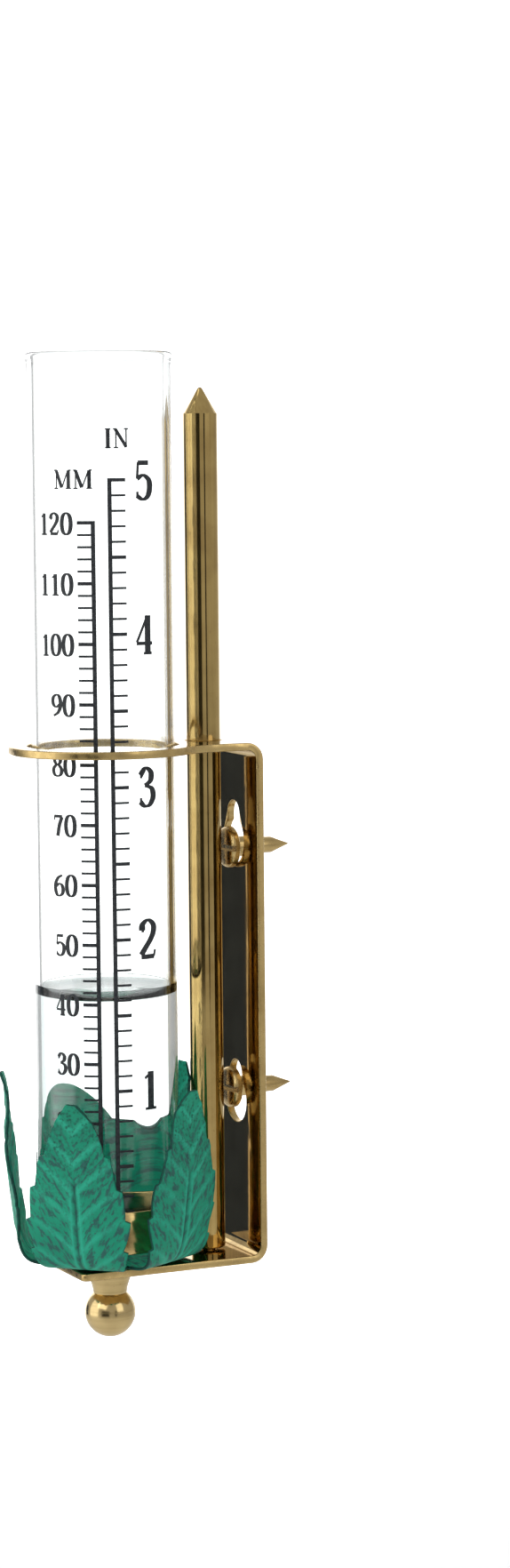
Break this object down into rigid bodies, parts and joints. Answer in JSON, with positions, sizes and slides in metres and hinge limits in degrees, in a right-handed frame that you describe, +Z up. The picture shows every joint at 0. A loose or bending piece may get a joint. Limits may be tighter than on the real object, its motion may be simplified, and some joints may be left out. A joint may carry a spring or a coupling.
{
  "type": "rain gauge",
  "caption": "Wall-mounted manual rain gauge: glass measuring tube in a bent brass bracket with a ring, leaf cup, ball finial and guard rod.",
  "frame": {"origin": "centre of the bracket plate's rear face, which lies against the post", "axes": "+Y into the post, -Y to the front, +Z up along the tube"},
  "size_m": [0.0367, 0.0526, 0.167],
  "materials": {
    "bracket_brass": "polished brass strip with satin edges",
    "turned_brass": "polished turned brass",
    "screw_brass": "plain brass",
    "clear_glass": "clear glass with printed scale",
    "verdigris": "green verdigris on thin sheet, mottled and matt"
  },
  "bodies": {
    "holder": {"bracket": "bracket_brass", "tube_socket": "turned_brass", "leaf_rosette": "verdigris", "finial_stud": "screw_brass", "mounting_screw_upper": "screw_brass", "mounting_screw_lower": "screw_brass"},
    "tube": {"gauge_tube": "clear_glass"},
    "rod": {"guard_rod": "turned_brass"},
    "finial": {"finial_knob": "turned_brass"}
  },
  "joints": [
    {"name": "tube_lift", "type": "slide", "parent": "holder", "child": "tube", "axis": [0, 0, 1], "range_m": [0, 0.09]},
    {"name": "rod_lift", "type": "slide", "parent": "holder", "child": "rod", "axis": [0, 0, 1], "range_m": [0, 0.093]},
    {"name": "finial_turn", "type": "hinge", "parent": "holder", "child": "finial", "pos_m": [0, -0.0254, -0.0524], "axis": [0, 0, 1], "continuous": true}
  ]
}
